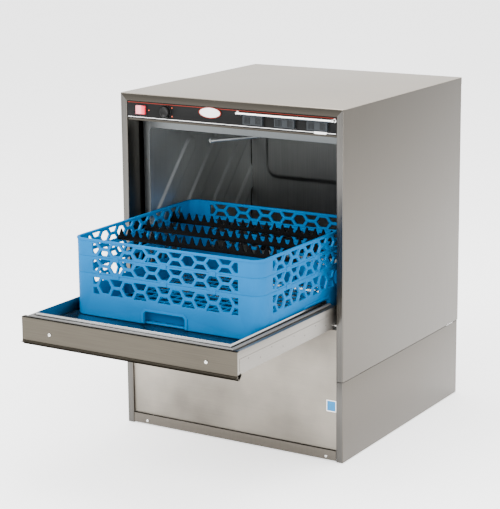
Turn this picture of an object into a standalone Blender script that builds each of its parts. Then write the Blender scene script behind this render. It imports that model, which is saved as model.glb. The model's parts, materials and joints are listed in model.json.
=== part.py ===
"""Undercounter commercial dishwasher, standing with its drop-down door open and a glass rack on it.

Metres, +Z up, +X to the viewer's right, -Y to the front. The origin is on the floor at the cabinet's centre.
"""

import math

import bmesh
import bpy
from mathutils import Matrix, Vector

# Cabinet
WIDTH = 0.610
DEPTH = 0.631
HEIGHT = 0.832
SHEET = 0.0015
GAP = 0.0003
HALF = WIDTH / 2
FRONT = -DEPTH / 2
REAR = DEPTH / 2
FLANGE = 0.018
FLANGE_IN = HALF - FLANGE
RETURN_DEPTH = 0.049
SEAM_Z = 0.197
BASE_INSET = 0.004

# Door, which is modelled lying open
HINGE_Y = FRONT + 0.005
HINGE_Z = 0.330
HINGE_ROD_R = 0.0021
HINGE_BORE_R = 0.0025
BRACKET_LOW, BRACKET_HIGH = 0.305, 0.355
BRACKET_IN, BRACKET_OUT = 0.2890, 0.3030
DOOR_REACH = 0.432
DOOR_HALF = 0.2835
DOOR_TOP = 0.376
DOOR_BOTTOM = 0.326
DOOR_FRONT = HINGE_Y - DOOR_REACH
DOOR_REAR = HINGE_Y + 0.008
STRIP_HALF = 0.2855
STRIP_BOTTOM = 0.316
LINER_HALF = 0.259
LINER_FRONT = DOOR_FRONT + 0.018
RIM_TOP = 0.387
SCREW_X, SCREW_Z, SCREW_R = 0.208, 0.345, 0.0042
GASKET_WIDTH = 0.0080

# Wash chamber
CHAMBER_HALF = 0.268
CHAMBER_FRONT = -0.250
CHAMBER_REAR = 0.232
CEILING_Z = 0.7735
LINTEL_Z = 0.740
SILL_Z = 0.340
TANK_TOP = 0.338
TANK_FLOOR = 0.236
CEILING_TOP = CEILING_Z + SHEET
FRAME_LOW, FRAME_HIGH = 0.3195, 0.812
FRAME_CORNER_R = 0.012
GUIDE_REACH = 0.036
GUIDE_LEG = 0.015

# Wash arms: (underside, half-length)
ARM_Y = (CHAMBER_FRONT + CHAMBER_REAR) / 2
WASH_ARMS = {"lower_wash_arm": (0.3170, 0.224), "upper_wash_arm": (0.7440, 0.215)}
ARM_HALF_WIDTH = 0.017
ARM_THICK = 0.012
JET_PLACES = (0.07, 0.13, 0.19)
RINSE_Z = 0.7190
RINSE_START, RINSE_END = (-0.094, -0.240), (0.186, 0.214)
MANIFOLD_X, MANIFOLD_Z, MANIFOLD_R = -0.060, 0.800, 0.014
HEATER_X, HEATER_Y, HEATER_Z = (-0.18, -0.12), (-0.16, 0.17), 0.262

# Machinery in the base, each given by the centre of its left end
PUMP_END, PUMP_R = (-0.105, 0.105, 0.105), 0.062
MOTOR_LEFT, MOTOR_R = -0.235, 0.052
DRAIN_PUMP_END, DRAIN_PUMP_R = (0.105, 0.150, 0.075), 0.034
BOOSTER_END, BOOSTER_R = (-0.215, -0.130, 0.125), 0.068
# Fittings on the base's back: (x, z, radius, reach)
FITTINGS = {"power_cord_gland": (0.230, 0.075, 0.013, 0.016),
            "water_inlet_fitting": (0.150, 0.120, 0.012, 0.020),
            "drain_outlet_fitting": (-0.170, 0.060, 0.016, 0.022)}

# Rack, which stands half on the door and half on the guides
RACK_HALF = 0.251
RACK_Z = 0.356
RACK_FRONT = -0.592
RACK_Y = RACK_FRONT + RACK_HALF
RACK_WALL = 0.004
RACK_CORNER_R = 0.030
# Tiers, from the bottom up: (height, foot of the windows, height of the windows)
TIERS = {"rack_base": (0.100, 0.052, 0.040), "rack_extender_lower": (0.040, 0.0035, 0.032),
         "rack_extender_upper": (0.040, 0.0045, 0.030)}
FLOOR_THICK = 0.0036
FLOOR_CELL, FLOOR_HOLE, FLOOR_CELLS = 0.084, 0.072, 5
GRIP_HALF, GRIP_TOP = 0.0585, 0.029
COMB_Z, COMB_DEPTH, COMB_SPIKE, COMB_COUNT = 0.509, 0.012, 0.016, 20
WINDOWS_PER_SIDE = 6
WINDOW_ROW = 0.390
COMB_PLACES = {"rack_comb_front": -0.082, "rack_comb_middle": 0.030, "rack_comb_rear": 0.142}
SUPPORT_Z = RACK_Z - 0.0005

# Control panel
LIP_Z = 0.767
OVERLAY_BOTTOM = 0.772
OVERLAY_TOP = 0.8132
OVERLAY_FACE = FRONT + 0.0012
TRAY_FACE = OVERLAY_FACE + SHEET + GAP
ROCKER_TILT_SLACK = 0.0014
# Rockers: (x, z, half-width, half-height, how far each stands out)
ROCKERS = {"power_rocker": (-0.2453, 0.7935, 0.0132, 0.0102, 0.0050),
           "panel_rocker_left": (0.070, 0.7905, 0.0262, 0.0105, 0.0070),
           "panel_rocker_middle": (0.1545, 0.7905, 0.0262, 0.0105, 0.0070),
           "panel_rocker_right": (0.2395, 0.7905, 0.0262, 0.0105, 0.0070)}
PRIME_X, PRIME_Z, PRIME_R, PRIME_HALF = -0.1752, 0.7932, 0.0128, 0.008
BADGE_X, BADGE_Z, BADGE_HALF_X, BADGE_HALF_Z = -0.049, 0.8003, 0.031, 0.0132
GUARD_LEFT, GUARD_RIGHT, GUARD_Z, GUARD_REACH, GUARD_R = 0.0265, 0.2815, 0.8052, 0.0085, 0.0034

STEEL = ("brushed_stainless", (0.62, 0.60, 0.57), 0.32, 1.0)
DARK_STEEL = ("chamber_stainless", (0.45, 0.46, 0.47), 0.28, 1.0)
CHROME = ("polished_steel", (0.80, 0.80, 0.80), 0.10, 1.0)
BLUE = ("rack_blue", (0.02, 0.33, 0.80), 0.40, 0.0)
BLACK = ("black_plastic", (0.02, 0.02, 0.02), 0.45, 0.0)
RUBBER = ("black_rubber", (0.015, 0.015, 0.015), 0.80, 0.0)
RED = ("red_lens", (0.80, 0.05, 0.06), 0.25, 0.0)
BADGE_WHITE = ("white_enamel", (0.85, 0.85, 0.85), 0.40, 0.0)
COPPER = ("sheathed_heater", (0.30, 0.22, 0.18), 0.40, 1.0)


def clear_scene():
    for obj in list(bpy.data.objects):
        bpy.data.objects.remove(obj, do_unlink=True)


def new_collection(name):
    collection = bpy.data.collections.new(name)
    bpy.context.scene.collection.children.link(collection)
    return collection


def material(finish):
    name, colour, roughness, metallic = finish
    found = bpy.data.materials.get(name)
    if found:
        return found
    made = bpy.data.materials.new(name)
    made.use_nodes = True
    shader = made.node_tree.nodes["Principled BSDF"]
    shader.inputs["Base Color"].default_value = (*colour, 1.0)
    shader.inputs["Roughness"].default_value = roughness
    shader.inputs["Metallic"].default_value = metallic
    return made


def add(name, data, finish, location=(0, 0, 0), parent=None, target=None):
    """Makes an object from mesh or curve data at a world location, also under a parent empty."""
    obj = bpy.data.objects.new(name, data)
    (target or PARTS).objects.link(obj)
    obj.location = Vector(location)
    if parent:
        obj.parent = parent
        obj.location -= parent.location
    if finish:
        data.materials.append(material(finish))
    return obj


def pivot(name, location):
    empty = bpy.data.objects.new(name, None)
    PARTS.objects.link(empty)
    empty.location = location
    return empty


def block_into(mesh, low, high, origin=(0, 0, 0)):
    """Adds a cuboid between two corners to a bmesh."""
    size = Vector(high) - Vector(low)
    middle = (Vector(high) + Vector(low)) / 2 - Vector(origin)
    place = Matrix.Translation(middle) @ Matrix.Diagonal((*size, 1.0))
    bmesh.ops.create_cube(mesh, size=1.0, matrix=place)


def finish_mesh(name, mesh):
    data = bpy.data.meshes.new(name)
    mesh.to_mesh(data)
    mesh.free()
    return data


def blocks(name, corners, finish, target=None, parent=None):
    """One object made of separate cuboids, each given by its low and high corners."""
    middle = tuple((low + high) / 2 for low, high in zip(*corners[0]))
    mesh = bmesh.new()
    for low, high in corners:
        block_into(mesh, low, high, middle)
    return add(name, finish_mesh(name, mesh), finish, middle, parent, target)


def box(name, low, high, finish, parent=None):
    return blocks(name, [(low, high)], finish, parent=parent)


def cutter(name, corners):
    """Cuboids for a Boolean modifier, kept out of the render."""
    return hide_cutter(blocks(name, corners, None, target=CUTTERS))


def hide_cutter(obj):
    obj.hide_render = True
    obj.display_type = "WIRE"
    return obj


def rods(name, ends, radius, finish, segments=20, parent=None, origin=None, target=None):
    """One object made of separate straight round bars, each between two end points."""
    middle = Vector(origin) if origin else (Vector(ends[0][0]) + Vector(ends[0][1])) / 2
    mesh = bmesh.new()
    for start, end in ends:
        run = Vector(end) - Vector(start)
        turn = run.to_track_quat("Z", "Y").to_matrix().to_4x4()
        place = Matrix.Translation((Vector(start) + Vector(end)) / 2 - middle) @ turn
        bmesh.ops.create_cone(mesh, cap_ends=True, segments=segments, radius1=radius, radius2=radius,
                              depth=run.length, matrix=place)
    data = finish_mesh(name, mesh)
    data.shade_smooth()
    data.set_sharp_from_angle(angle=math.radians(40))
    return add(name, data, finish, middle, parent, target)


def bore(name, start, end, radius, segments=20):
    """A round cutter between two points."""
    return hide_cutter(rods(name, [(start, end)], radius, None, segments, target=CUTTERS))


def boolean(obj, other, operation):
    step = obj.modifiers.new(operation.lower() + "_" + other.name, "BOOLEAN")
    step.operation = operation
    step.object = other
    return obj


def cut(obj, other):
    return boolean(obj, other, "DIFFERENCE")


def join(obj, *corners):
    """Welds cuboids onto a folded sheet, as its end walls and flanges."""
    for number, pair in enumerate(corners):
        boolean(obj, cutter(f"{obj.name}_weld_{number}", [pair]), "UNION")
    return obj


def folded_sheet(name, section, axis, low, high, finish, thickness=SHEET, parent=None, side=-1):
    """A sheet folded along a section and run along an axis; side chooses which way it thickens."""
    mesh = bmesh.new()
    across = [i for i in range(3) if i != "XYZ".index(axis)]
    points = []
    for pair in section:
        point = [low, low, low]
        point[across[0]], point[across[1]] = pair
        points.append(mesh.verts.new(point))
    edges = [mesh.edges.new(pair) for pair in zip(points, points[1:])]
    grown = bmesh.ops.extrude_edge_only(mesh, edges=edges)["geom"]
    run = Vector((0, 0, 0))
    run["XYZ".index(axis)] = high - low
    bmesh.ops.translate(mesh, vec=run, verts=[v for v in grown if isinstance(v, bmesh.types.BMVert)])
    obj = add(name, finish_mesh(name, mesh), finish, parent=parent)
    wall = obj.modifiers.new("thickness", "SOLIDIFY")
    wall.thickness = thickness
    wall.offset = side
    wall.use_even_offset = True
    return obj


def outline_curve(name, outlines, thickness):
    """A flat outline, with any holes, as a 2D curve extruded to a plate about its own plane."""
    curve = bpy.data.curves.new(name, "CURVE")
    curve.dimensions = "2D"
    curve.fill_mode = "BOTH"
    curve.extrude = thickness / 2
    for outline in outlines:
        spline = curve.splines.new("POLY")
        spline.points.add(len(outline) - 1)
        for point, (u, v) in zip(spline.points, outline):
            point.co = (u, v, 0, 1)
        spline.use_cyclic_u = True
    return curve


FACING = {"up": Matrix.Identity(4), "front": Matrix.Rotation(math.radians(90), 4, "X")}


def plate(name, outlines, facing, centre, thickness, finish, parent=None, target=None):
    """A plate whose outline is drawn about its centre, lying flat or standing to face the front."""
    curve = outline_curve(name, outlines, thickness)
    source = bpy.data.objects.new(name + "_outline", curve)
    bpy.context.scene.collection.objects.link(source)
    graph = bpy.context.evaluated_depsgraph_get()
    data = bpy.data.meshes.new_from_object(source.evaluated_get(graph))
    bpy.data.objects.remove(source, do_unlink=True)
    mesh = bmesh.new()
    mesh.from_mesh(data)
    bmesh.ops.remove_doubles(mesh, verts=mesh.verts, dist=0.00001)
    bmesh.ops.transform(mesh, matrix=FACING[facing], verts=mesh.verts)
    bmesh.ops.recalc_face_normals(mesh, faces=mesh.faces)
    return add(name, finish_mesh(name, mesh), finish, centre, parent, target)


def rounded_rectangle(half_u, half_v, radius, steps=4):
    points = []
    for quarter, (su, sv) in enumerate(((1, 1), (-1, 1), (-1, -1), (1, -1))):
        for step in range(steps + 1):
            angle = math.radians(90 * (quarter + step / steps))
            points.append((su * (half_u - radius) + radius * math.cos(angle),
                           sv * (half_v - radius) + radius * math.sin(angle)))
    return points


def ellipse(half_u, half_v, count=32):
    turns = (2 * math.pi * i / count for i in range(count))
    return [(half_u * math.cos(a), half_v * math.sin(a)) for a in turns]


def tube(name, points, radius, finish, parent=None, resolution=2):
    curve = bpy.data.curves.new(name, "CURVE")
    curve.dimensions = "3D"
    curve.bevel_depth = radius
    curve.bevel_resolution = resolution
    curve.use_fill_caps = True
    spline = curve.splines.new("POLY")
    spline.points.add(len(points) - 1)
    for place, point in zip(spline.points, points):
        place.co = (*point, 1)
    return add(name, curve, finish, parent=parent)


def bent_path(corners, radius, steps=4):
    """A route through corner points with each corner rounded to an arc."""
    route = [Vector(corners[0])]
    for before, corner, after in zip(corners, corners[1:], corners[2:]):
        corner = Vector(corner)
        into = (Vector(before) - corner).normalized()
        out = (Vector(after) - corner).normalized()
        half_angle = into.angle(out) / 2
        centre = corner + (into + out).normalized() * radius / math.sin(half_angle)
        start = (corner + into * radius / math.tan(half_angle) - centre).normalized()
        end = (corner + out * radius / math.tan(half_angle) - centre).normalized()
        route += [centre + radius * start.slerp(end, step / steps) for step in range(steps + 1)]
    route.append(Vector(corners[-1]))
    return route


def mitre_cutter(name, sides):
    """Wedges that cut the front flanges to the 45-degree corner joint of the cabinet's front."""
    mesh = bmesh.new()
    for side in sides:
        wedge = [mesh.verts.new((side * x, FRONT - 0.01, z)) for x, z in
                 ((HALF + 0.01, HEIGHT + 0.01), (HALF + 0.01, HEIGHT - FLANGE - GAP),
                  (FLANGE_IN - GAP, HEIGHT - FLANGE - GAP), (HALF - GAP, HEIGHT))]
        face = mesh.faces.new(wedge)
        grown = bmesh.ops.extrude_face_region(mesh, geom=[face])["geom"]
        moved = [v for v in grown if isinstance(v, bmesh.types.BMVert)]
        bmesh.ops.translate(mesh, vec=(0, 0.01 + SHEET + 0.001, 0), verts=moved)
    bmesh.ops.recalc_face_normals(mesh, faces=mesh.faces)
    return hide_cutter(add(name, finish_mesh(name, mesh), None, target=CUTTERS))


def side_section(sign, rear):
    """Plan of a side panel: front return, front flange, side and a short rear flange."""
    return [(sign * FLANGE_IN, FRONT + RETURN_DEPTH), (sign * FLANGE_IN, FRONT), (sign * HALF, FRONT),
            (sign * HALF, rear), (sign * (HALF - 0.012), rear)]


def build_cabinet():
    side_top = HEIGHT - FLANGE
    cover = folded_sheet("top_cover", [(FRONT, side_top), (FRONT, HEIGHT), (REAR, HEIGHT), (REAR, side_top)],
                         "X", -HALF, HALF, STEEL)
    skirt = FRONT + SHEET + GAP
    join(cover, ((-HALF, skirt, side_top), (-HALF + SHEET, REAR, HEIGHT - SHEET / 2)),
         ((HALF - SHEET, skirt, side_top), (HALF, REAR, HEIGHT - SHEET / 2)))
    cut(cover, mitre_cutter("top_mitres", (-1, 1)))
    pin_in, pin_out = DOOR_HALF - 0.0035, HALF + 0.002
    for name, sign in (("left", -1), ("right", 1)):
        side = folded_sheet(f"{name}_side_panel", side_section(sign, REAR), "Z", SEAM_Z, side_top - GAP,
                            STEEL,
                            side=sign)
        cut(side, bore(f"{name}_pin_bore", (sign * pin_in, HINGE_Y, HINGE_Z),
                       (sign * (FLANGE_IN + 0.006), HINGE_Y, HINGE_Z), HINGE_BORE_R))
        folded_sheet(f"base_{name}_skirt", side_section(sign, REAR - BASE_INSET), "Z", 0.001,
                     SEAM_Z - 0.001, STEEL, side=sign)
        inner = sign * (HALF - SHEET - GAP)
        folded_sheet(f"base_{name}_rail", [(inner, 0.025), (inner, 0.0), (inner - sign * 0.025, 0.0)],
                     "Y", FRONT + RETURN_DEPTH + 0.002, REAR - 0.020, STEEL, thickness=0.002, side=sign)
        near, far = sorted((sign * BRACKET_IN, sign * BRACKET_OUT))
        bracket = box(f"hinge_bracket_{name}", (near, HINGE_Y - 0.003, BRACKET_LOW),
                      (far, HINGE_Y + 0.030, BRACKET_HIGH), STEEL)
        cut(bracket, bore(f"{name}_bracket_bore", (sign * pin_in, HINGE_Y, HINGE_Z),
                          (sign * pin_out, HINGE_Y, HINGE_Z), HINGE_BORE_R))
    panel_y = REAR - 2 * SHEET - 2 * GAP
    box("back_panel", (-HALF + 0.003, panel_y, SEAM_Z), (HALF - 0.003, panel_y + SHEET, HEIGHT - 0.0025),
        STEEL)
    base_y = panel_y - BASE_INSET
    pan = [(FRONT + 0.010, 0.0), (base_y + SHEET, 0.0), (base_y + SHEET, SEAM_Z - 0.001)]
    folded_sheet("base_pan", pan, "X", -0.2760, 0.2760, STEEL, side=1)


def build_kick_panel():
    half = FLANGE_IN - 0.0005
    face = FRONT + 0.004
    box("kick_panel", (-half, face, 0.0285), (half, face + SHEET, 0.3190), STEEL)
    box("kick_rail", (-half, FRONT + 0.0008, 0.003), (half, FRONT + 0.003, 0.0275), STEEL)


def build_chamber():
    half, rear = CHAMBER_HALF, CHAMBER_REAR
    outer = FLANGE_IN - 0.0015
    centre_z = (FRAME_LOW + FRAME_HIGH) / 2
    half_z = (FRAME_HIGH - FRAME_LOW) / 2
    lift = (SILL_Z + LINTEL_Z) / 2 - centre_z
    opening = [(u, v + lift) for u, v in rounded_rectangle(half, (LINTEL_Z - SILL_Z) / 2, FRAME_CORNER_R)]
    rim = [(-outer, -half_z), (outer, -half_z), (outer, half_z), (-outer, half_z)]
    plate("chamber_front_frame", [rim, opening], "front", (0, CHAMBER_FRONT + 0.001, centre_z), 0.002,
          DARK_STEEL)
    start = CHAMBER_FRONT + 0.002 + GAP
    wall_low, wall_top = TANK_TOP + GAP, CEILING_Z - GAP
    back = rear + GAP
    box("chamber_left_wall", (-half - SHEET, start, wall_low), (-half, rear, wall_top), DARK_STEEL)
    box("chamber_right_wall", (half, start, wall_low), (half + SHEET, rear, wall_top), DARK_STEEL)
    box("chamber_rear_wall", (-half - SHEET, back, wall_low), (half + SHEET, back + SHEET, wall_top),
        DARK_STEEL)
    box("chamber_ceiling", (-half - SHEET, start, CEILING_Z), (half + SHEET, back + SHEET, CEILING_TOP),
        DARK_STEEL)
    tank = folded_sheet("wash_tank", [(-half, TANK_TOP), (-half, TANK_FLOOR), (half, TANK_FLOOR),
                                      (half, TANK_TOP)],
                        "Y", start, rear, DARK_STEEL)
    join(tank, ((-half, start, TANK_FLOOR), (half, start + SHEET, TANK_TOP)),
         ((-half, rear - SHEET, TANK_FLOOR), (half, rear, TANK_TOP)))
    for name, sign in (("left", -1), ("right", 1)):
        wall = sign * (half - GAP)
        angle = [(wall, SUPPORT_Z - GUIDE_LEG), (wall, SUPPORT_Z), (sign * (half - GUIDE_REACH), SUPPORT_Z)]
        folded_sheet(f"rack_guide_{name}", angle, "Y", CHAMBER_FRONT + 0.006, rear - 0.001, DARK_STEEL,
                     side=-sign)


def build_wash_system():
    inset = 0.004
    screen = box("scrap_screen", (-CHAMBER_HALF + inset, CHAMBER_FRONT + 0.006, 0.3000),
                 (CHAMBER_HALF - inset, CHAMBER_REAR - inset, 0.3012), DARK_STEEL)
    cut(screen, bore("screen_hole", (0, ARM_Y, 0.290), (0, ARM_Y, 0.310), 0.020))
    tank_floor = TANK_FLOOR + SHEET + GAP
    rods("lower_arm_post", [((0, ARM_Y, tank_floor), (0, ARM_Y, 0.3165))], 0.014, DARK_STEEL)
    rods("upper_arm_post", [((0, ARM_Y, CEILING_Z - GAP), (0, ARM_Y, 0.7565))], 0.012, DARK_STEEL)
    for name, (low, reach) in WASH_ARMS.items():
        outline = rounded_rectangle(reach, ARM_HALF_WIDTH, ARM_HALF_WIDTH - 0.0005, 3)
        arm = plate(name, [outline], "up", (0, ARM_Y, low + ARM_THICK / 2), ARM_THICK, CHROME)
        jets = [((side * place, ARM_Y, low - 0.01), (side * place, ARM_Y, low + 0.02))
                for side in (-1, 1) for place in JET_PLACES]
        cut(arm, hide_cutter(rods(f"{name}_jets", jets, 0.003, None, 8, target=CUTTERS)))
    tube("rinse_tube", [(*RINSE_START, RINSE_Z), (*RINSE_END, RINSE_Z)], 0.0045, CHROME)
    riser_y = CHAMBER_REAR + 0.034
    route = bent_path([(MANIFOLD_X, riser_y, 0.165), (MANIFOLD_X, riser_y, MANIFOLD_Z),
                       (MANIFOLD_X, 0.10, MANIFOLD_Z), (0.0, ARM_Y, MANIFOLD_Z),
                       (0.0, ARM_Y, CEILING_TOP + GAP)], 0.018, 3)
    tube("wash_manifold", route, MANIFOLD_R, CHROME, resolution=3)
    (left, right), (near, far) = HEATER_X, HEATER_Y
    loop = [(left, far, HEATER_Z), (left, near, HEATER_Z), (right, near, HEATER_Z), (right, far, HEATER_Z)]
    tube("tank_heater", bent_path(loop, 0.022), 0.0055, COPPER)


def round_unit(name, left_end, length, radius, finish, segments, target=None):
    """A pump, motor or tank as a round body lying along X."""
    x, y, z = left_end
    return rods(name, [(left_end, (x + length, y, z))], radius, finish, segments, target=target)


def build_services():
    pump = round_unit("wash_pump", PUMP_END, 0.040, PUMP_R, BLACK, 28)
    motor_end = (MOTOR_LEFT, *PUMP_END[1:])
    motor = round_unit("pump_motor", motor_end, PUMP_END[0] + 0.005 - MOTOR_LEFT, MOTOR_R, None, 28, CUTTERS)
    boolean(pump, hide_cutter(motor), "UNION")
    round_unit("drain_pump", DRAIN_PUMP_END, 0.095, DRAIN_PUMP_R, BLACK, 24)
    round_unit("booster_heater", BOOSTER_END, -2 * BOOSTER_END[0], BOOSTER_R, DARK_STEEL, 32)
    box("control_box", (0.040, -0.225, 0.7790), (0.262, -0.060, 0.8080), STEEL)
    panel = REAR - SHEET - BASE_INSET - GAP
    for name, (x, z, radius, reach) in FITTINGS.items():
        finish = CHROME if name == "water_inlet_fitting" else BLACK
        fitting = rods(name, [((x, panel, z), (x, panel + reach, z))], radius, finish, 24)
        cut(fitting, bore(f"{name}_bore", (x, panel + 0.003, z), (x, panel + reach + 0.01, z), radius * 0.65,
                          24))


def rocker(name, x, z, half_width, half_height, proud, finish, finger=0.0025):
    """A rocker that tilts left and right about an upright axis at its middle."""
    back = 0.010
    outline = [(-half_width, back), (-half_width, -proud), (-half_width + 0.002, -proud - 0.0006),
               (0, -proud + finger), (half_width - 0.002, -proud - 0.0006), (half_width, -proud),
               (half_width, back)]
    return plate(name, [outline], "up", (x, OVERLAY_FACE, z), 2 * half_height, finish)


def build_control_panel():
    half = FLANGE_IN - 0.0008
    tray = folded_sheet("control_panel_tray", [(TRAY_FACE, OVERLAY_TOP + 0.0006), (TRAY_FACE, LIP_Z),
                                               (CHAMBER_FRONT - 0.004, LIP_Z)], "X", -half, half, STEEL,
                                               side=1)
    overlay = box("control_overlay", (-half, OVERLAY_FACE, OVERLAY_BOTTOM),
                  (half, OVERLAY_FACE + SHEET, OVERLAY_TOP),
                  BLACK)
    holes = []
    for name, (x, z, half_width, half_height, proud) in ROCKERS.items():
        rocker(name, x, z, half_width, half_height, proud, RED if name == "power_rocker" else BLACK)
        across, up = half_width + ROCKER_TILT_SLACK, half_height + ROCKER_TILT_SLACK / 2
        holes.append(((x - across, FRONT - 0.01, z - up), (x + across, FRONT + 0.01, z + up)))
    prime = (PRIME_X, OVERLAY_FACE, PRIME_Z)
    rods("prime_rocker", [((PRIME_X, OVERLAY_FACE - PRIME_HALF, PRIME_Z),
                           (PRIME_X, OVERLAY_FACE + PRIME_HALF, PRIME_Z))],
         PRIME_R, BLACK, 24, origin=prime)
    round_hole = bore("prime_hole", (PRIME_X, FRONT - 0.01, PRIME_Z), (PRIME_X, FRONT + 0.01, PRIME_Z),
                      PRIME_R + ROCKER_TILT_SLACK, 24)
    windows = cutter("rocker_windows", holes)
    for obj in (tray, overlay):
        cut(obj, windows)
        cut(obj, round_hole)
    thick = 0.0012
    stand = OVERLAY_FACE - GAP
    plate("blank_badge", [ellipse(BADGE_HALF_X, BADGE_HALF_Z)], "front",
          (BADGE_X, stand - thick / 2, BADGE_Z), thick,
          BADGE_WHITE)
    reach = stand - GUARD_REACH
    route = bent_path([(GUARD_LEFT, stand, GUARD_Z), (GUARD_LEFT, reach, GUARD_Z),
                       (GUARD_RIGHT, reach, GUARD_Z),
                       (GUARD_RIGHT, stand, GUARD_Z)], 0.0065, 3)
    tube("switch_guard_bar", route, GUARD_R, CHROME)


def build_door(swing):
    wall = DOOR_HALF - 0.021
    section = [(-wall, DOOR_TOP), (-DOOR_HALF, DOOR_TOP), (-DOOR_HALF, DOOR_BOTTOM), (DOOR_HALF, DOOR_BOTTOM),
               (DOOR_HALF, DOOR_TOP), (wall, DOOR_TOP)]
    shell = folded_sheet("door_outer_shell", section, "Y", DOOR_FRONT + 0.0030, DOOR_REAR, STEEL,
                         parent=swing)
    front = DOOR_FRONT + 0.0020
    join(shell, ((-DOOR_HALF, front, DOOR_BOTTOM), (DOOR_HALF, front + SHEET, DOOR_TOP)),
         ((-DOOR_HALF, front, DOOR_TOP - SHEET), (DOOR_HALF, LINER_FRONT - 0.0035, DOOR_TOP)))
    pan = SUPPORT_Z - SHEET
    liner = folded_sheet("door_inner_liner", [(-LINER_HALF, RIM_TOP), (-LINER_HALF, pan), (LINER_HALF, pan),
                                              (LINER_HALF, RIM_TOP)],
                         "Y", LINER_FRONT + 0.0005, HINGE_Y, STEEL, parent=swing)
    join(liner, ((-LINER_HALF, LINER_FRONT, pan), (LINER_HALF, LINER_FRONT + SHEET, RIM_TOP)))
    curl = [(DOOR_FRONT, DOOR_TOP + 0.002), (DOOR_FRONT, STRIP_BOTTOM + 0.004),
            (DOOR_FRONT + 0.002, STRIP_BOTTOM),
            (DOOR_FRONT + 0.010, STRIP_BOTTOM - 0.001), (DOOR_FRONT + 0.020, STRIP_BOTTOM + 0.002)]
    folded_sheet("door_handle_strip", curl, "X", -STRIP_HALF, STRIP_HALF, STEEL, parent=swing, side=1)
    for name, x in (("left", -SCREW_X), ("right", SCREW_X)):
        head = [((x, DOOR_FRONT - GAP, SCREW_Z), (x, DOOR_FRONT - GAP - 0.0018, SCREW_Z))]
        rods(f"handle_strip_screw_{name}", head, SCREW_R, CHROME, 16, parent=swing)
    inner = LINER_HALF + 0.0045
    outer = inner + GASKET_WIDTH
    length = LINER_FRONT - 0.0045
    seal = [(-outer, length - GASKET_WIDTH), (outer, length - GASKET_WIDTH), (outer, HINGE_Y),
            (inner, HINGE_Y),
            (inner, length), (-inner, length), (-inner, HINGE_Y), (-outer, HINGE_Y)]
    plate("door_gasket", [seal], "up", (0, 0, DOOR_TOP + GAP + 0.0025), 0.005, RUBBER, parent=swing)
    box("door_stiffener", (-0.250, -0.560, DOOR_BOTTOM + SHEET + GAP), (0.250, -0.500, pan - GAP), STEEL,
        parent=swing)
    cut(shell, bore("hinge_rod_bore", (-0.29, HINGE_Y, HINGE_Z), (0.29, HINGE_Y, HINGE_Z), HINGE_BORE_R))


def comb_outline(half_length, depth, spike, count):
    """A divider comb: a straight strip with a row of pointed spikes on its upper edge."""
    pitch = 2 * half_length / count
    upper = []
    for number in range(count):
        left = -half_length + number * pitch
        upper += [(left, 0.0), (left + 0.22 * pitch, 0.0), (left + 0.5 * pitch, spike),
                  (left + 0.78 * pitch, 0.0)]
    upper.append((half_length, 0.0))
    return [(half_length, -depth), (-half_length, -depth)] + upper


def hexagon_into(mesh, centre, half_width, half_height, along_x):
    """A short hexagonal cutter through a rack wall, with its points to the left and right."""
    shape = ((-1.0, 0), (-0.62, -1), (0.62, -1), (1.0, 0), (0.62, 1), (-0.62, 1))
    depth = 4 * RACK_WALL
    corners = []
    for u, v in shape:
        side = Vector((u * half_width, -depth / 2, v * half_height))
        corners.append(mesh.verts.new(Vector(centre) + (side if along_x else side.yxz)))
    face = mesh.faces.new(corners)
    grown = bmesh.ops.extrude_face_region(mesh, geom=[face])["geom"]
    run = (0, depth, 0) if along_x else (depth, 0, 0)
    bmesh.ops.translate(mesh, vec=run, verts=[v for v in grown if isinstance(v, bmesh.types.BMVert)])


def rack_windows(tier, z, opening):
    """Cuts a row of hexagonal windows through a tier's four sides."""
    pitch = WINDOW_ROW / WINDOWS_PER_SIDE
    wall_line = RACK_HALF - RACK_WALL / 2
    mesh = bmesh.new()
    for number in range(WINDOWS_PER_SIDE):
        place = (number - (WINDOWS_PER_SIDE - 1) / 2) * pitch
        for side in (-1, 1):
            for spot, along_x in (((place, side * wall_line, z), True),
                                  ((side * wall_line, place, z), False)):
                hexagon_into(mesh, spot, 0.46 * pitch, opening / 2, along_x)
    bmesh.ops.recalc_face_normals(mesh, faces=mesh.faces)
    name = f"{tier.name}_windows"
    cut(tier, hide_cutter(add(name, finish_mesh(name, mesh), None, (0, RACK_Y, 0), target=CUTTERS)))


def hand_grips(tier):
    """Cuts the open-bottomed hand grip at the middle of each side."""
    wall_line = RACK_HALF - RACK_WALL / 2
    low, high = RACK_Z - 0.01, RACK_Z + GRIP_TOP
    reach = 0.006
    grips = []
    for side in (-1, 1):
        y, x = RACK_Y + side * wall_line, side * wall_line
        grips.append(((-GRIP_HALF, y - reach, low), (GRIP_HALF, y + reach, high)))
        grips.append(((x - reach, RACK_Y - GRIP_HALF, low), (x + reach, RACK_Y + GRIP_HALF, high)))
    cut(tier, cutter("rack_hand_grips", grips))


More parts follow.
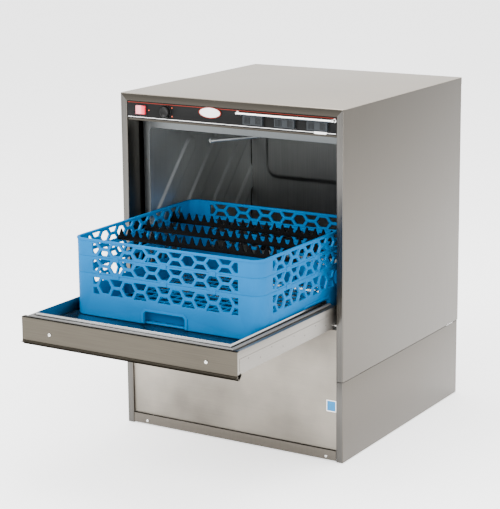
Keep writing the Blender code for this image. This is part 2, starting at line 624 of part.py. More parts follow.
def build_rack(carrier):
    ring_out = rounded_rectangle(RACK_HALF, RACK_HALF, RACK_CORNER_R)
    inner = RACK_HALF - RACK_WALL
    ring_in = rounded_rectangle(inner, inner, RACK_CORNER_R - RACK_WALL)
    low = RACK_Z
    for name, (height, sill, opening) in TIERS.items():
        tier = plate(name, [ring_out, ring_in], "up", (0, RACK_Y, low + height / 2), height - GAP, BLUE,
                     parent=carrier)
        rack_windows(tier, low + sill + opening / 2, opening)
        if name == "rack_base":
            hand_grips(tier)
        low += height
    inside = rounded_rectangle(inner - GAP, inner - GAP, RACK_CORNER_R - RACK_WALL)
    grid = plate("rack_floor_grid", [inside], "up", (0, RACK_Y, RACK_Z + GAP + FLOOR_THICK / 2), FLOOR_THICK,
                 BLUE,
                 parent=carrier)
    offsets = [(number - (FLOOR_CELLS - 1) / 2) * FLOOR_CELL for number in range(FLOOR_CELLS)]
    half = FLOOR_HOLE / 2
    holes = [((x - half, RACK_Y + y - half, RACK_Z - 0.01), (x + half, RACK_Y + y + half, RACK_Z + 0.01))
             for x in offsets for y in offsets]
    cut(grid, cutter("rack_floor_holes", holes))
    comb = comb_outline(inner - 0.001, COMB_DEPTH, COMB_SPIKE, COMB_COUNT)
    for name, place in COMB_PLACES.items():
        plate(name, [comb], "front", (0, RACK_Y + place, COMB_Z), RACK_WALL, BLACK, parent=carrier)


clear_scene()
PARTS = new_collection("commercial_dishwasher")
CUTTERS = new_collection("cutters")
CUTTERS.hide_render = True
build_cabinet()
build_kick_panel()
build_chamber()
build_wash_system()
build_services()
build_control_panel()
build_door(pivot("door_pivot", (0, HINGE_Y, HINGE_Z)))
rods("hinge_rod", [((-0.3025, HINGE_Y, HINGE_Z), (0.3025, HINGE_Y, HINGE_Z))], HINGE_ROD_R, CHROME, 16)
build_rack(pivot("rack_carrier", (0, HINGE_Y, HINGE_Z)))
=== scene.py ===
"""Looks for the undercounter dishwasher: sheet metal, pressed chamber walls, honeycomb rack and controls.

Metres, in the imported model's frame: +Z up, +X to the right of a person facing the front, -Y to the front.
"""

import json
import math

import bmesh
import bpy
from mathutils import Matrix, Vector


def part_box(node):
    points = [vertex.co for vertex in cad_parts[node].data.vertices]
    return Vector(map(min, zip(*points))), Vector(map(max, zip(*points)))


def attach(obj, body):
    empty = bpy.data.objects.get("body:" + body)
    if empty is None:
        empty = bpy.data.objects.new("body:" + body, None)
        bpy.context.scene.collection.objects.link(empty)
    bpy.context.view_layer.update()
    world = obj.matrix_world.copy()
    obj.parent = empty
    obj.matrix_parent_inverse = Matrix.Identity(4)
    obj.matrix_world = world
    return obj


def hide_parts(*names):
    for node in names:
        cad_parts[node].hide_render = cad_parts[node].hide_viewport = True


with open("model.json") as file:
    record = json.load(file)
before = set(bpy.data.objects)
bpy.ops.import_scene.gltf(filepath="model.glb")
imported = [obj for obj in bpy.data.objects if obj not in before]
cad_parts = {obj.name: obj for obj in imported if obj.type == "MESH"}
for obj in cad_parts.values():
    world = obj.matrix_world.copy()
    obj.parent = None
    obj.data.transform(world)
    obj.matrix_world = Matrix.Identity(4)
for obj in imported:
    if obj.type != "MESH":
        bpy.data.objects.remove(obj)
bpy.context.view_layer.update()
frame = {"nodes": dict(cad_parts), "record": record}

SHEET = 0.0015
BEND_R = 0.0028
GAP = 0.0003
# How far a cutting shape runs past what it cuts
OVERCUT = 0.01

# The camera, whose angles are in degrees
CAMERA_PLACE = Vector((2.100, -3.650, 1.400))
CAMERA_AZIMUTH, CAMERA_ELEVATION, CAMERA_ROLL = 31.82, 12.09, -0.59
CAMERA_LENS, SENSOR = 123.4, 36.0
CAMERA_SHIFT = (0.020, -0.075)

CAB_LOW, CAB_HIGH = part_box("top_cover")
HALF, FRONT, REAR, HEIGHT = CAB_HIGH.x, CAB_LOW.y, CAB_HIGH.y, CAB_HIGH.z
FLANGE = HEIGHT - CAB_LOW.z
FLANGE_IN = HALF - FLANGE
SEAM_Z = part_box("right_side_panel")[0].z
PANEL_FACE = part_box("control_overlay")[0].y
RACK_LOW, RACK_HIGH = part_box("rack_base")
RACK_HALF = RACK_HIGH.x
RACK_Y = (RACK_LOW.y + RACK_HIGH.y) / 2
RACK_R = 0.030
RACK_WALL = 0.0055
HONEYCOMB_PITCH, HONEYCOMB_STRUT = 0.0325, 0.0068
DOOR_LOW, DOOR_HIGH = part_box("door_outer_shell")


# ---------- materials ----------

class Graph:
    """A material's node tree, with short calls to add and link nodes."""

    def __init__(self, name, roughness, metallic):
        self.material = bpy.data.materials.new(name)
        self.material.use_nodes = True
        self.tree = self.material.node_tree
        self.shader = self.tree.nodes["Principled BSDF"]
        self.shader.inputs["Roughness"].default_value = roughness
        self.shader.inputs["Metallic"].default_value = metallic
        self.place = self.add("ShaderNodeTexCoord").outputs["Object"]

    def add(self, kind, **values):
        node = self.tree.nodes.new(kind)
        for name, value in values.items():
            if hasattr(node, name):
                setattr(node, name, value)
            else:
                node.inputs[name].default_value = value
        return node

    def link(self, output, target):
        self.tree.links.new(output, target)

    def noise(self, stretch, scale=1.0, detail=3.0):
        """Noise over the object, stretched by a scale for each axis."""
        mapping = self.add("ShaderNodeMapping", Scale=stretch)
        self.link(self.place, mapping.inputs["Vector"])
        noise = self.add("ShaderNodeTexNoise", Scale=scale, Detail=detail)
        self.link(mapping.outputs["Vector"], noise.inputs["Vector"])
        return noise.outputs["Fac"]

    def ramp(self, factor, stops):
        """A colour ramp through (position, colour) stops."""
        ramp = self.add("ShaderNodeValToRGB")
        marks = ramp.color_ramp.elements
        while len(marks) < len(stops):
            marks.new(0.5)
        for mark, (position, colour) in zip(marks, stops):
            mark.position = position
            mark.color = (*colour, 1.0)
        self.link(factor, ramp.inputs["Fac"])
        return ramp.outputs["Color"]

    def spread(self, factor, low, high):
        """Maps the middle of a noise's range to low..high."""
        node = self.add("ShaderNodeMapRange")
        for name, value in zip(("From Min", "From Max", "To Min", "To Max"), (0.3, 0.7, low, high)):
            node.inputs[name].default_value = value
        self.link(factor, node.inputs["Value"])
        return node.outputs["Result"]

    def mix(self, first, second, share):
        """A weighted sum of two noises."""
        node = self.add("ShaderNodeMix", data_type="FLOAT")
        node.inputs[0].default_value = share
        self.link(first, node.inputs[2])
        self.link(second, node.inputs[3])
        return node.outputs[0]

    def bump(self, height, strength, distance):
        node = self.add("ShaderNodeBump", Strength=strength, Distance=distance)
        self.link(height, node.inputs["Height"])
        self.link(node.outputs["Normal"], self.shader.inputs["Normal"])


def scaled(colour, factor):
    return tuple(min(1.0, channel * factor) for channel in colour)


def brushed(name, colour, roughness, along="X", contrast=0.10, streak=420.0, bump=0.10, mottle=0.35):
    """Brushed sheet steel: fine streaks along one axis under soft broad clouding."""
    graph = Graph(name, roughness, 1.0)
    stretch = [streak, streak, streak]
    stretch["XYZ".index(along)] = streak / 55
    streaks = graph.noise(stretch)
    clouds = graph.noise((5.0, 5.0, 5.0), detail=4.0)
    factor = graph.mix(streaks, clouds, mottle)
    colours = ((0.30, scaled(colour, 1 - contrast)), (0.70, scaled(colour, 1 + contrast)))
    graph.link(graph.ramp(factor, colours), graph.shader.inputs["Base Color"])
    graph.link(graph.spread(factor, roughness * 0.85, roughness * 1.18), graph.shader.inputs["Roughness"])
    graph.bump(streaks, bump, 0.0002)
    return graph.material


def moulded(name, colour, roughness, grain=900.0, bump=0.06, contrast=0.06, specular=0.5):
    """Moulded plastic, rubber or enamel: a fine skin grain and slight unevenness of tone."""
    graph = Graph(name, roughness, 0.0)
    graph.shader.inputs["Specular IOR Level"].default_value = specular
    clouds = graph.noise((9.0, 9.0, 9.0), detail=4.0)
    colours = ((0.30, scaled(colour, 1 - contrast)), (0.70, scaled(colour, 1 + contrast)))
    graph.link(graph.ramp(clouds, colours), graph.shader.inputs["Base Color"])
    grains = graph.noise((grain, grain, grain), detail=2.0)
    graph.link(graph.spread(grains, roughness * 0.85, roughness * 1.15), graph.shader.inputs["Roughness"])
    graph.bump(grains, bump, 0.0001)
    return graph.material


def polished(name, colour, roughness):
    """Polished metal with faint wipe marks."""
    graph = Graph(name, roughness, 1.0)
    wipes = graph.noise((60.0, 14.0, 60.0), detail=5.0)
    colours = ((0.30, scaled(colour, 0.94)), (0.70, scaled(colour, 1.03)))
    graph.link(graph.ramp(wipes, colours), graph.shader.inputs["Base Color"])
    graph.link(graph.spread(wipes, roughness * 0.7, roughness * 1.4), graph.shader.inputs["Roughness"])
    return graph.material


def lit_lens(name, left_edge, width):
    """The lit rocker's lens: paler pink on its left half, a painted highlight, and deeper red towards its
    right, painted shade; its colour also glows faintly.
    """
    graph = Graph(name, 0.22, 0.0)
    split = graph.add("ShaderNodeSeparateXYZ")
    graph.link(graph.place, split.inputs["Vector"])
    run = graph.add("ShaderNodeMapRange")
    run.inputs["From Min"].default_value = left_edge
    run.inputs["From Max"].default_value = left_edge + width
    graph.link(split.outputs["X"], run.inputs["Value"])
    # Pale pink on the left is a painted highlight; deep red on the right is painted shade.
    colours = ((0.0, (0.88, 0.20, 0.24)), (0.45, (0.93, 0.27, 0.32)), (0.62, (0.80, 0.06, 0.09)),
               (1.0, (0.62, 0.02, 0.04)))
    colour = graph.ramp(run.outputs["Result"], colours)
    graph.link(colour, graph.shader.inputs["Base Color"])
    graph.link(colour, graph.shader.inputs["Emission Color"])
    graph.shader.inputs["Emission Strength"].default_value = 0.35
    return graph.material


LOOKS = {
    # The stainless steel comes as lit and shaded copies, by the way each surface faces; the top is a lighter
    # copy, painted light.
    "top": brushed("steel_top_painted_light", (0.365, 0.327, 0.275), 0.38, "X"),
    "front": brushed("steel_front", (0.225, 0.206, 0.177), 0.40, "X", contrast=0.24, mottle=0.75),
    # Darker copies for the right side, and for the base skirts and kick rail: painted shade.
    "side": brushed("steel_side_painted_shade", (0.102, 0.092, 0.078), 0.36, "Z"),
    "skirt": brushed("steel_skirt_painted_shade", (0.105, 0.094, 0.080), 0.36, "Z"),
    # Darker copy for the door's handle strip: painted shade.
    "strip": brushed("steel_strip_painted_shade", (0.072, 0.064, 0.051), 0.36, "X", contrast=0.18),
    # Darker copy for the front-facing flanges and the control panel tray: painted shade.
    "flange": brushed("steel_flange_painted_shade", (0.040, 0.036, 0.030), 0.30, "X"),
    "kick": brushed("steel_kick", (0.215, 0.196, 0.168), 0.40, "X", contrast=0.42, mottle=0.92),
    # Darker copy for the front-facing jambs of the sides and skirts: painted shade.
    "post": brushed("steel_post_painted_shade", (0.088, 0.084, 0.078), 0.28, "Z", contrast=0.18),
    "door": brushed("steel_door", (0.215, 0.202, 0.182), 0.34, "Y"),
    "pan": brushed("steel_pan", (0.340, 0.345, 0.345), 0.18, "X", bump=0.05),
    # Inside the chamber the steel comes as a lighter copy, painted light, for the side walls and inner parts,
    # and a darker copy, painted shade, for the rear wall and ceiling.
    "chamber": brushed("steel_chamber_painted_light", (0.520, 0.545, 0.540), 0.46, "Z", contrast=0.16, mottle=0.6),
    "rear": brushed("steel_rear_painted_shade", (0.105, 0.105, 0.102), 0.42, "Z", contrast=0.22, mottle=0.6),
    # Darker, bluish copy for the chamber front frame: painted shade and a painted reflection of the blue rack.
    "frame": brushed("steel_frame_painted_shade", (0.118, 0.126, 0.128), 0.46, "Z"),
    "chrome": polished("chrome", (0.70, 0.69, 0.67), 0.09),
    "blue": moulded("rack_blue_plastic", (0.0, 0.112, 0.300), 0.44, specular=0.02),
    # Darker copy of the rack blue for the grip pockets: painted shade in the recess.
    "shadow_blue": moulded("rack_blue_shadow", (0.0, 0.064, 0.180), 0.45, specular=0.02),
    "black": moulded("black_plastic", (0.005, 0.005, 0.005), 0.38, bump=0.10, specular=0.14),
    "comb": moulded("comb_black", (0.002, 0.002, 0.002), 0.36, specular=0.05),
    "overlay": moulded("overlay_black", (0.005, 0.005, 0.005), 0.48, grain=500.0, bump=0.14, specular=0.09),
    "grip": moulded("rocker_grey", (0.016, 0.019, 0.022), 0.40, bump=0.15, specular=0.20),
    "rubber": moulded("gasket_rubber", (0.085, 0.083, 0.080), 0.34, bump=0.1),
    "red_print": moulded("red_print", (0.200, 0.018, 0.008), 0.45, specular=0.1),
    "white_print": moulded("white_print", (0.90, 0.90, 0.90), 0.40),
    "badge": moulded("badge_enamel", (0.82, 0.82, 0.82), 0.18, bump=0.02),
    "label": moulded("label_film", (0.005, 0.170, 0.400), 0.30, bump=0.02, specular=0.3),
    "orange": moulded("orange_dot", (0.60, 0.07, 0.015), 0.30),
    "heater": brushed("heater_sheath", (0.20, 0.15, 0.12), 0.40, "Y", contrast=0.2),
    "weld": brushed("weld_dimple", (0.10, 0.09, 0.08), 0.45, "X"),
}


# ---------- mesh helpers ----------

def new_mesh(name, build):
    mesh = bmesh.new()
    build(mesh)
    data = bpy.data.meshes.new(name)
    mesh.to_mesh(data)
    mesh.free()
    return data


def piece(name, data, look, body, slot, *nodes, angle=35.0):
    """A finished piece of the visual model, riding on a body."""
    obj = bpy.data.objects.new(name, data)
    bpy.context.scene.collection.objects.link(obj)
    data.materials.clear()
    data.materials.append(LOOKS[look])
    data.shade_smooth()
    data.set_sharp_from_angle(angle=math.radians(angle))
    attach(obj, body)
    if nodes:
        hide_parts(*nodes)
    return obj


def repaint(obj, look, facing):
    """Gives the faces that face one way a second look, a darker copy of the steel: painted shade."""
    obj.data.materials.append(LOOKS[look])
    for face in obj.data.polygons:
        if face.normal.dot(Vector(facing)) > 0.8:
            face.material_index = 1


def helper(name, data):
    """An object for the time of one Boolean or curve conversion."""
    obj = bpy.data.objects.new(name, data)
    bpy.context.scene.collection.objects.link(obj)
    return obj


def evaluated(obj):
    """The object's mesh with its modifiers applied, and the object removed."""
    graph = bpy.context.evaluated_depsgraph_get()
    data = bpy.data.meshes.new_from_object(obj.evaluated_get(graph))
    bpy.data.objects.remove(obj, do_unlink=True)
    return data


def cut(data, *tools):
    """The mesh with each tool mesh taken away from it."""
    for tool in tools:
        obj, other = helper("cut_source", data), helper("cut_tool", tool)
        step = obj.modifiers.new("cut", "BOOLEAN")
        step.operation, step.object = "DIFFERENCE", other
        data = evaluated(obj)
        bpy.data.objects.remove(other, do_unlink=True)
    return data


def soften(data, width, segments=2, angle=28.0):
    """Welds the mesh, clears flat triangulation and rounds its sharp edges."""
    mesh = bmesh.new()
    mesh.from_mesh(data)
    bmesh.ops.remove_doubles(mesh, verts=mesh.verts, dist=0.00002)
    bmesh.ops.dissolve_limit(mesh, angle_limit=math.radians(1.0), verts=mesh.verts, edges=mesh.edges)
    clean = bpy.data.meshes.new(data.name)
    mesh.to_mesh(clean)
    mesh.free()
    obj = helper("soften", clean)
    step = obj.modifiers.new("round", "BEVEL")
    step.width, step.segments = width, segments
    step.limit_method, step.angle_limit = "ANGLE", math.radians(angle)
    step.use_clamp_overlap = True
    return evaluated(obj)


def merged(name, parts):
    return new_mesh(name, lambda mesh: [mesh.from_mesh(part) for part in parts])


def moved(data, matrix):
    data.transform(matrix)
    return data


def prism(outline, axis, low, high):
    """A closed prism whose outline lies across an axis, in the order of the other two."""
    def build(mesh):
        across = [i for i in range(3) if i != "XYZ".index(axis)]
        verts = []
        for pair in outline:
            point = [low, low, low]
            point[across[0]], point[across[1]] = pair
            verts.append(mesh.verts.new(point))
        grown = bmesh.ops.extrude_face_region(mesh, geom=[mesh.faces.new(verts)])["geom"]
        run = Vector((0, 0, 0))
        run["XYZ".index(axis)] = high - low
        bmesh.ops.translate(mesh, vec=run, verts=[v for v in grown if isinstance(v, bmesh.types.BMVert)])
        bmesh.ops.recalc_face_normals(mesh, faces=mesh.faces)
    return new_mesh("prism", build)


def rounded_section(points, radius, steps=5):
    """An open section with each of its corners turned into an arc."""
    route = [Vector(points[0])]
    for before, corner, after in zip(points, points[1:], points[2:]):
        corner = Vector(corner)
        into, out = Vector(before) - corner, Vector(after) - corner
        reach = min(radius / math.tan(into.angle(out) / 2), into.length * 0.48, out.length * 0.48)
        start, end = corner + into.normalized() * reach, corner + out.normalized() * reach
        for step in range(steps + 1):
            t = step / steps
            route.append(start * (1 - t) ** 2 + corner * 2 * t * (1 - t) + end * t ** 2)
    route.append(Vector(points[-1]))
    return route


def bent_sheet(section, axis, low, high, side, radius=BEND_R, thickness=SHEET):
    """Sheet metal folded along a section with rounded bends, run along an axis."""
    def build(mesh):
        across = [i for i in range(3) if i != "XYZ".index(axis)]
        verts = []
        for pair in rounded_section(section, radius):
            point = [low, low, low]
            point[across[0]], point[across[1]] = pair
            verts.append(mesh.verts.new(point))
        edges = [mesh.edges.new(pair) for pair in zip(verts, verts[1:])]
        grown = bmesh.ops.extrude_edge_only(mesh, edges=edges)["geom"]
        run = Vector((0, 0, 0))
        run["XYZ".index(axis)] = high - low
        bmesh.ops.translate(mesh, vec=run, verts=[v for v in grown if isinstance(v, bmesh.types.BMVert)])
    obj = helper("bent_sheet", new_mesh("bent_sheet", build))
    wall = obj.modifiers.new("thickness", "SOLIDIFY")
    wall.thickness, wall.offset, wall.use_even_offset = thickness, side, True
    edge = obj.modifiers.new("edge", "BEVEL")
    edge.width, edge.segments = thickness * 0.35, 2
    edge.limit_method, edge.angle_limit = "ANGLE", math.radians(50)
    return evaluated(obj)


FACING = {"up": Matrix.Identity(4), "front": Matrix.Rotation(math.radians(90), 4, "X"),
          "right": Matrix.Rotation(math.radians(90), 4, "Z") @ Matrix.Rotation(math.radians(90), 4, "X")}


def plate(outlines, facing, centre, thickness, bevel=0.0):
    """A flat plate from an outline with any holes, with its edges rounded by a bevel."""
    curve = bpy.data.curves.new("plate", "CURVE")
    curve.dimensions, curve.fill_mode = "2D", "BOTH"
    curve.extrude = thickness / 2 - bevel
    curve.bevel_depth, curve.offset, curve.bevel_resolution = bevel, -bevel, 2
    for outline in outlines:
        spline = curve.splines.new("POLY")
        spline.points.add(len(outline) - 1)
        for point, (u, v) in zip(spline.points, outline):
            point.co = (u, v, 0, 1)
        spline.use_cyclic_u = True
    data = evaluated(helper("plate", curve))
    mesh = bmesh.new()
    mesh.from_mesh(data)
    bmesh.ops.remove_doubles(mesh, verts=mesh.verts, dist=0.00001)
    bmesh.ops.transform(mesh, matrix=Matrix.Translation(centre) @ FACING[facing], verts=mesh.verts)
    bmesh.ops.recalc_face_normals(mesh, faces=mesh.faces)
    mesh.to_mesh(data)
    mesh.free()
    return data


def rounded_rectangle(half_u, half_v, radius, steps=6, centre=(0.0, 0.0)):
    points = []
    for quarter, (su, sv) in enumerate(((1, 1), (-1, 1), (-1, -1), (1, -1))):
        for step in range(steps + 1):
            angle = math.radians(90 * (quarter + step / steps))
            points.append((centre[0] + su * (half_u - radius) + radius * math.cos(angle),
                           centre[1] + sv * (half_v - radius) + radius * math.sin(angle)))
    return points


def ellipse(half_u, half_v, count=48):
    turns = (2 * math.pi * i / count for i in range(count))
    return [(half_u * math.cos(a), half_v * math.sin(a)) for a in turns]


def turned(profile, centre, segments=40, squash=1.0):
    """A turned piece facing the front; the profile is (radius, height) from its rim to its axis."""
    def build(mesh):
        rings = []
        for radius, height in profile:
            if radius == 0:
                rings.append([mesh.verts.new((0, -height, 0))])
                continue
            turns = (2 * math.pi * i / segments for i in range(segments))
            rings.append([mesh.verts.new((radius * math.cos(a), -height, squash * radius * math.sin(a)))
                          for a in turns])
        for outer, inner in zip(rings, rings[1:]):
            for i in range(segments):
                j = (i + 1) % segments
                if len(inner) == 1:
                    mesh.faces.new((outer[i], outer[j], inner[0]))
                else:
                    mesh.faces.new((outer[i], outer[j], inner[j], inner[i]))
        mesh.faces.new(rings[0][::-1])
        bmesh.ops.recalc_face_normals(mesh, faces=mesh.faces)
        bmesh.ops.translate(mesh, vec=centre, verts=mesh.verts)
    return new_mesh("turned", build)


def tube(points, radius):
    """A round bar along a route, with filled ends."""
    curve = bpy.data.curves.new("tube", "CURVE")
    curve.dimensions, curve.use_fill_caps = "3D", True
    curve.bevel_depth, curve.bevel_resolution = radius, 6
    spline = curve.splines.new("POLY")
    spline.points.add(len(points) - 1)
    for place, point in zip(spline.points, points):
        place.co = (*point, 1)
    return evaluated(helper("tube", curve))


def refined(node, look, body, slot, width=0.0004, segments=2):
    """Stands for a CAD node with the same shape and softly rounded edges."""
    data = soften(frame["nodes"][node].data.copy(), width, segments)
    return piece(f"{node}_finish", data, look, body, slot, node)


# ---------- cabinet ----------

def flange_wedge(sign):
    """The corner above the 45-degree joint, taken off a side panel's front flange."""
    corner, inner = (sign * HALF, HEIGHT), (sign * FLANGE_IN, HEIGHT - FLANGE)
    past, above = sign * (FLANGE_IN - OVERCUT), HEIGHT + OVERCUT
    outline = [corner, inner, (past, HEIGHT - FLANGE), (past, above), (sign * HALF, above)]
    return prism(outline, "Y", FRONT - OVERCUT, FRONT + SHEET + GAP)


def build_cabinet():
    cover = bent_sheet([(FRONT, HEIGHT - FLANGE), (FRONT, HEIGHT), (REAR, HEIGHT), (REAR, HEIGHT - FLANGE)],
                       "X", -HALF, HALF, -1)
    mitres = []
    for sign in (-1, 1):
        past, below = sign * (HALF + OVERCUT), HEIGHT - FLANGE - OVERCUT
        outline = [(past, HEIGHT - 0.0001), (sign * HALF, HEIGHT - 0.0001), (sign * FLANGE_IN, HEIGHT - FLANGE),
                   (sign * FLANGE_IN, below), (past, below)]
        mitres.append(prism(outline, "Y", FRONT - OVERCUT, FRONT + SHEET + 2 * GAP))
    # The cover takes the lighter top steel: painted light.
    cover = piece("top_cover_sheet", cut(cover, *mitres), "top", "cabinet", "stainless", "top_cover")
    # The cover's front-facing faces take the darker flange steel: painted shade.
    repaint(cover, "flange", (0, -1, 0))
    for name, sign in (("left", -1), ("right", 1)):
        depth = FRONT + 0.049
        section = [(sign * FLANGE_IN, depth), (sign * FLANGE_IN, FRONT), (sign * HALF, FRONT),
                   (sign * HALF, REAR), (sign * (HALF - 0.012), REAR)]
        side = bent_sheet(section, "Z", SEAM_Z, HEIGHT - SHEET - GAP, sign)
        post_top = prism([(sign * (FLANGE_IN - 0.01), FRONT + SHEET),
                          (sign * (FLANGE_IN + 0.004), FRONT + SHEET),
                          (sign * (FLANGE_IN + 0.004), depth + 0.01),
                          (sign * (FLANGE_IN - 0.01), depth + 0.01)],
                         "Z", HEIGHT - FLANGE, HEIGHT + 0.01)
        side = cut(side, flange_wedge(sign), post_top)
        # The side sheet takes the darker side steel: painted shade.
        side = piece(f"{name}_side_sheet", side, "side", "cabinet", "stainless", f"{name}_side_panel")
        # Its front-facing jamb faces take the darker post steel: painted shade.
        repaint(side, "post", (0, -1, 0))
        low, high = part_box(f"base_{name}_skirt")
        section = section[:3] + [(sign * HALF, high.y), (sign * (HALF - 0.012), high.y)]
        skirt = bent_sheet(section, "Z", low.z, high.z, sign)
        # The skirt takes the darker skirt steel: painted shade.
        skirt = piece(f"base_{name}_sheet", skirt, "skirt", "cabinet", "stainless", f"base_{name}_skirt")
        # Its front-facing jamb faces take the darker post steel: painted shade.
        repaint(skirt, "post", (0, -1, 0))


def screw_head(x, z, face, radius):
    """A domed cross-slot screw head facing the front."""
    steps = 6
    profile = [(radius, 0.0)] + [(radius * math.cos(math.radians(90 * i / steps)),
                                  0.0004 + 0.45 * radius * math.sin(math.radians(90 * i / steps)))
                                 for i in range(steps)] + [(0, 0.0004 + 0.45 * radius)]
    head = turned(profile, (x, face, z), 28)
    bar, width = 0.55 * radius, 0.13 * radius
    low, high = face - 0.01, face - 0.25 * radius - 0.0004
    slots = [prism([(x - u, z - v), (x + u, z - v), (x + u, z + v), (x - u, z + v)], "Y", low, high)
             for u, v in ((bar, width), (width, bar))]
    return cut(head, *slots)


def build_kick_panel():
    refined("kick_panel", "kick", "cabinet", "stainless", 0.0006)
    # The kick rail takes the darker skirt steel: painted shade.
    refined("kick_rail", "skirt", "cabinet", "stainless", 0.0006)
    low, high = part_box("kick_rail")
    heads = [screw_head(x, (low.z + high.z) / 2 - 0.004, low.y, 0.0035) for x in (-0.247, 0.260)]
    piece("kick_rail_screws", merged("kick_rail_screws", heads), "chrome", "cabinet", "polished_steel")
    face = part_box("kick_panel")[0].y
    centre = (0.2729, face - 0.0003, 0.13475)
    piece("rating_label", plate([rounded_rectangle(0.0129, 0.0140, 0.001)], "front", centre, 0.0004, 0.0001),
          "white_print", "cabinet", "label_film")
    patch = (centre[0], face - 0.0006, centre[2])
    inner = rounded_rectangle(0.0108, 0.0118, 0.0008)
    piece("rating_label_patch", plate([inner], "front", patch, 0.0004, 0.0001),
          "label", "cabinet", "label_film")


# ---------- wash chamber ----------

def smooth_step(t):
    t = max(0.0, min(1.0, t))
    return t * t * (3 - 2 * t)


def capsule_distance(u, v, start, end):
    """Distance from a point to the line between two points."""
    run, point = Vector(end) - Vector(start), Vector((u, v)) - Vector(start)
    share = max(0.0, min(1.0, point.dot(run) / run.length_squared))
    return (point - run * share).length


def frame_distance(u, v, centre, half, radius):
    """Signed distance from a point to a rounded rectangle, negative inside it."""
    du = abs(u - centre[0]) - half[0] + radius
    dv = abs(v - centre[1]) - half[1] + radius
    outside = math.hypot(max(du, 0), max(dv, 0))
    return outside + min(max(du, dv), 0) - radius


def pressed_wall(node, look, place, across, raised):
    """A chamber wall with shapes pressed into it. raised gives a point's height above the sheet."""
    low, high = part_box(node)
    pitch = 0.0034
    axis = "XYZ".index(across)
    counts = [max(2, round((high[i] - low[i]) / pitch)) for i in (axis, 2)]
    normal = 1 - axis

    def build(mesh):
        rows = []
        for j in range(counts[1] + 1):
            v = low.z + (high.z - low.z) * j / counts[1]
            row = []
            for i in range(counts[0] + 1):
                u = low[axis] + (high[axis] - low[axis]) * i / counts[0]
                point = [0, 0, v]
                point[axis] = u
                point[normal] = place[0] + place[1] * raised(u, v)
                row.append(mesh.verts.new(point))
            rows.append(row)
        for lower, upper in zip(rows, rows[1:]):
            for i in range(counts[0]):
                mesh.faces.new((lower[i], lower[i + 1], upper[i + 1], upper[i]))
        bmesh.ops.recalc_face_normals(mesh, faces=mesh.faces)
        if mesh.faces[0].normal[normal] * place[1] < 0:
            bmesh.ops.reverse_faces(mesh, faces=mesh.faces)
    obj = helper(node, new_mesh(node, build))
    wall = obj.modifiers.new("thickness", "SOLIDIFY")
    wall.thickness, wall.offset = 0.0010, -1
    return piece(f"{node}_pressed", evaluated(obj), look, "cabinet", "chamber_stainless", node, angle=60)


def build_chamber():
    rib_half, slope, depth = 0.021, 0.008, 0.0040
    ribs = [((-0.062 + 0.137 * i, 0.668), (-0.242 + 0.137 * i, 0.468)) for i in range(4)]

    def ribbed(u, v):
        nearest = min(capsule_distance(u, v, *rib) for rib in ribs)
        return depth * smooth_step((rib_half + slope / 2 - nearest) / slope)

    def framed(u, v):
        return depth * smooth_step(-frame_distance(u, v, (0, 0.640), (0.224, 0.100), 0.035) / slope)

    left, right, rear = (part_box(f"chamber_{name}_wall") for name in ("left", "right", "rear"))
    # The side walls take the lighter chamber steel, painted light; the rear wall and ceiling take the darker
    # rear steel, painted shade.
    pressed_wall("chamber_left_wall", "chamber", (left[1].x - depth, 1), "Y", ribbed)
    pressed_wall("chamber_right_wall", "chamber", (right[0].x + depth, -1), "Y", ribbed)
    pressed_wall("chamber_rear_wall", "rear", (rear[0].y + 0.0002, -1), "X", framed)
    for node, look in (("chamber_ceiling", "rear"), ("wash_tank", "chamber"), ("scrap_screen", "chamber"),
                       ("rack_guide_left", "chamber"), ("rack_guide_right", "chamber"),
                       ("lower_arm_post", "chamber"), ("upper_arm_post", "chamber")):
        refined(node, look, "cabinet", "chamber_stainless")
    # The frame takes the darker, bluish frame steel: painted shade and reflection.
    refined("chamber_front_frame", "frame", "cabinet", "chamber_stainless", 0.0008, 3)
    low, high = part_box("chamber_front_frame")
    studs = [turned([(0.0026, 0), (0.0024, 0.0008), (0.0012, 0.0013), (0, 0.0014)],
                    (sign * 0.2775, low.y, z), 20)
             for sign in (-1, 1) for z in (0.45, 0.66)]
    piece("frame_studs", merged("frame_studs", studs), "weld", "cabinet", "chamber_stainless")
    for node in ("lower_wash_arm", "upper_wash_arm"):
        refined(node, "chrome", node, "polished_steel", 0.0030, 4)
    low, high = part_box("rinse_tube")
    middle_z, radius = (low.z + high.z) / 2, (high.z - low.z) / 2
    start, end = Vector((low.x, low.y, middle_z)), Vector((high.x - radius, high.y, middle_z))
    along = (end - start).normalized()
    rod = tube([start + along * 0.004, end], radius * 0.92)
    cap = tube([start + along * 0.001, start + along * 0.012], radius * 1.15)
    piece("rinse_tube_smooth", merged("rinse_tube", [rod, cap]), "chamber", "cabinet", "polished_steel",
          "rinse_tube")


# ---------- control panel ----------

def bezel(node, border, proud):
    """A black frame round a rocker's window."""
    low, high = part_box(node)
    half_u, half_v = (high.x - low.x) / 2 + 0.0014, (high.z - low.z) / 2 + 0.0008
    outer = rounded_rectangle(half_u + border, half_v + border, 0.0014)
    inner = rounded_rectangle(half_u, half_v, 0.0004, 2)
    centre = ((low.x + high.x) / 2, PANEL_FACE - GAP - proud / 2, (low.z + high.z) / 2)
    piece(f"{node}_bezel", plate([outer, inner], "front", centre, proud, 0.0003), "black", "cabinet",
          "black_plastic")


